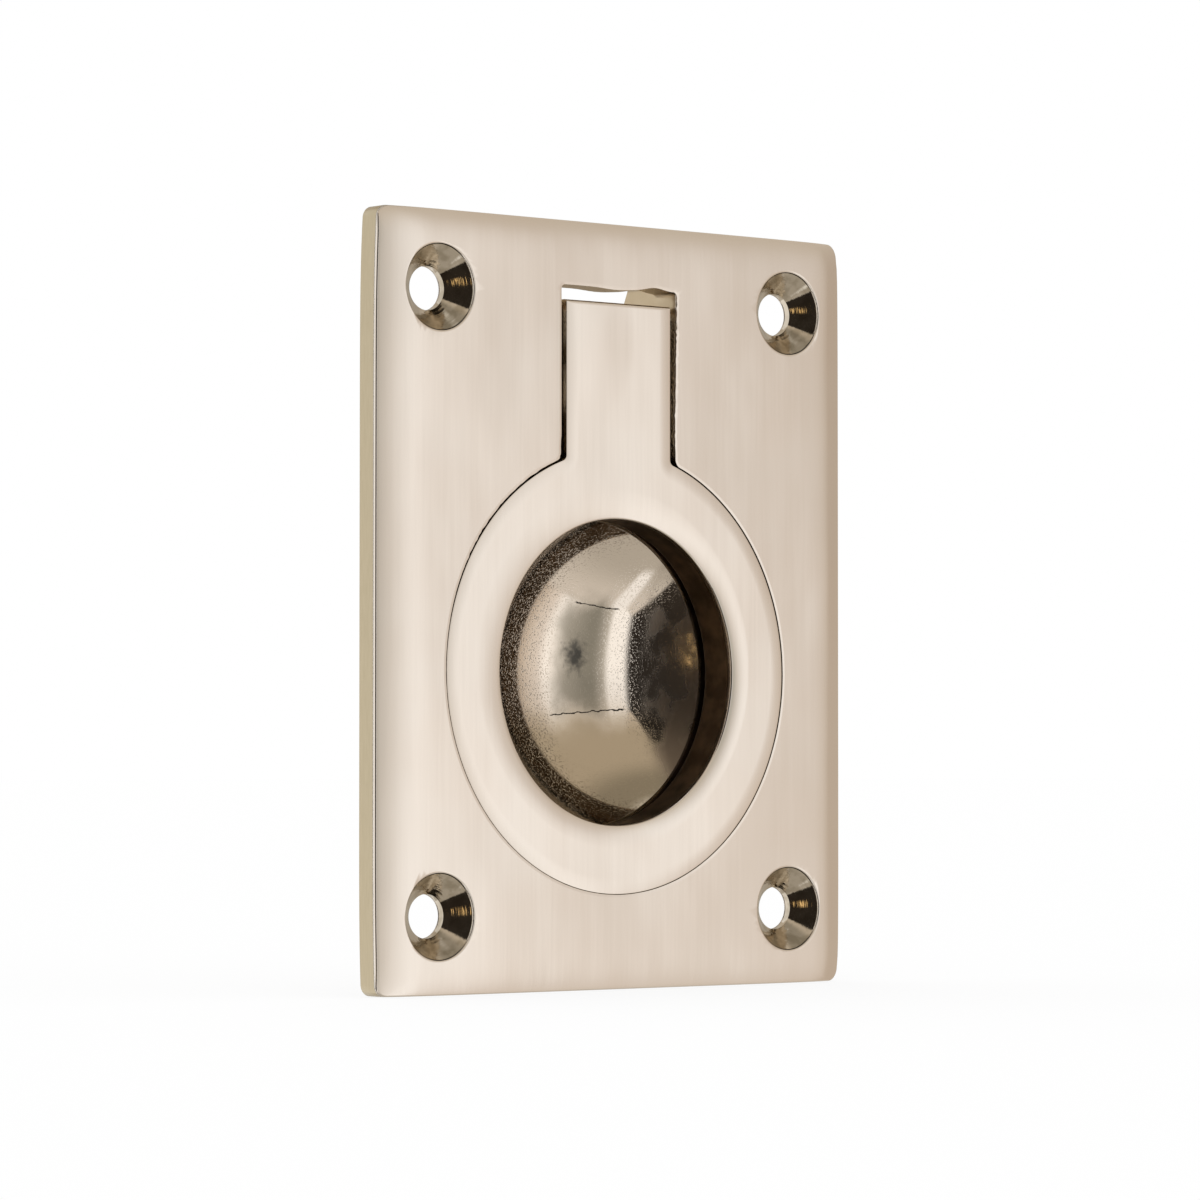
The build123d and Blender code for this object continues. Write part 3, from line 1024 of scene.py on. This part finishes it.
turn = f.math("ARCTAN2", aim_x, f.math("MULTIPLY", aim_y, -1.0))
turn = f.math("MULTIPLY", turn, degrees(1))
lift = f.math("MULTIPLY", f.math("ARCSINE", aim_z), degrees(1))
wall_colour = f.node("ValToRGB", Fac=f.math("MULTIPLY_ADD", turn, 1 / 360, 0.5))
wall_ramp = wall_colour.color_ramp
while len(wall_ramp.elements) < len(walls):
    wall_ramp.elements.new(0.5)
for stop, (azimuth, colour) in zip(wall_ramp.elements, walls):
    stop.position = azimuth / 360 + 0.5
    stop.color = (*colour, 1)
fade = f.blend(f.ramp(lift, -4, 8), 1.06, 0.96)  # the walls are a little darker higher up
scaled = {"operation": "SCALE"}
room = f.node("VectorMath", scaled, Vector=wall_colour.outputs[0], Scale=fade).outputs[0]
print("stops in the colour of the walls", len(wall_ramp.elements))

# %% Where the walls end
wall_top, wall_foot = 17, -35  # degrees above and below the level, away from the dark side
dark_side = f.ramp(turn, -10, -16)
dark_top = f.blend(f.ramp(turn, -13, -32), 20, 43)
dark_foot = f.math("MAXIMUM", f.math("MULTIPLY_ADD", turn, 0.85, -19.0), -56)
above_walls = f.math("SUBTRACT", lift, f.blend(dark_side, wall_top, dark_top))
below_walls = f.math("SUBTRACT", f.blend(dark_side, wall_foot, dark_foot), lift)

# %% Table, ceiling and lamp
near_table, far_table = (0.66, 0.62, 0.57, 1), (0.46, 0.43, 0.38, 1)
glare_colour = (0.95, 0.95, 0.95, 1)
ceiling, overhead, skylight = (0.60, 0.54, 0.46, 1), (0.36, 0.33, 0.28, 1), (1.0, 0.99, 0.97, 1)
lamp_colour, lamp_turn = (1.5, 1.05, 0.5, 1), -51.0
glare_turn = f.math("MULTIPLY_ADD", lift, 0.58, 15.9)
glare = f.both(
    f.ramp(f.math("ABSOLUTE", f.math("SUBTRACT", turn, glare_turn)), 8, 3),
    f.ramp(lift, -62, -54),
)
table = f.mix(f.ramp(lift, -36, -60), near_table, far_table)
table = f.mix(glare, table, glare_colour)
room = f.mix(f.ramp(below_walls, -1.5, 1.5), room, table)
softness = f.blend(dark_side, 20.0, 2.0)
past_wall = f.math("DIVIDE", above_walls, softness)
room = f.mix(f.ramp(past_wall, -0.6, 1.0), room, ceiling)
lamp = f.length(f.math("ADD", turn, -lamp_turn), f.math("MULTIPLY_ADD", lift, 0.12, 1.6))
room = f.mix(f.ramp(lamp, 1.6, 0.8), room, lamp_colour)
room = f.mix(f.ramp(lift, 48, 62), room, overhead)
room = f.mix(f.ramp(lift, 70, 80), room, skylight)
sight = f.mix(f.node("LightPath").outputs["Is Glossy Ray"], (1, 1, 1, 1), room)
f.links.new(sight, f.nodes["Background"].inputs["Color"])
bpy.context.scene.view_settings.view_transform = "Standard"
print("nodes in the studio", len(f.nodes))

# %% Camera
azimuth, elevation = radians(-40.96), radians(-1.78)
distance = 0.4304  # metres
target = Vector((0, front_y * mm, 0))
back = Vector((sin(azimuth) * cos(elevation), -cos(azimuth) * cos(elevation), sin(elevation)))
lens = bpy.data.cameras.new("camera")
lens.sensor_width = 36
lens.lens = 155.67
lens.shift_x, lens.shift_y = -0.016167, 0.004917
camera = bpy.data.objects.new("camera", lens)
camera.location = target + back * distance
camera.rotation_mode = "QUATERNION"
camera.rotation_quaternion = (-back).to_track_quat("-Z", "Y")
bpy.context.scene.collection.objects.link(camera)
bpy.context.scene.camera = camera
print("camera at", [round(v, 3) for v in camera.location])
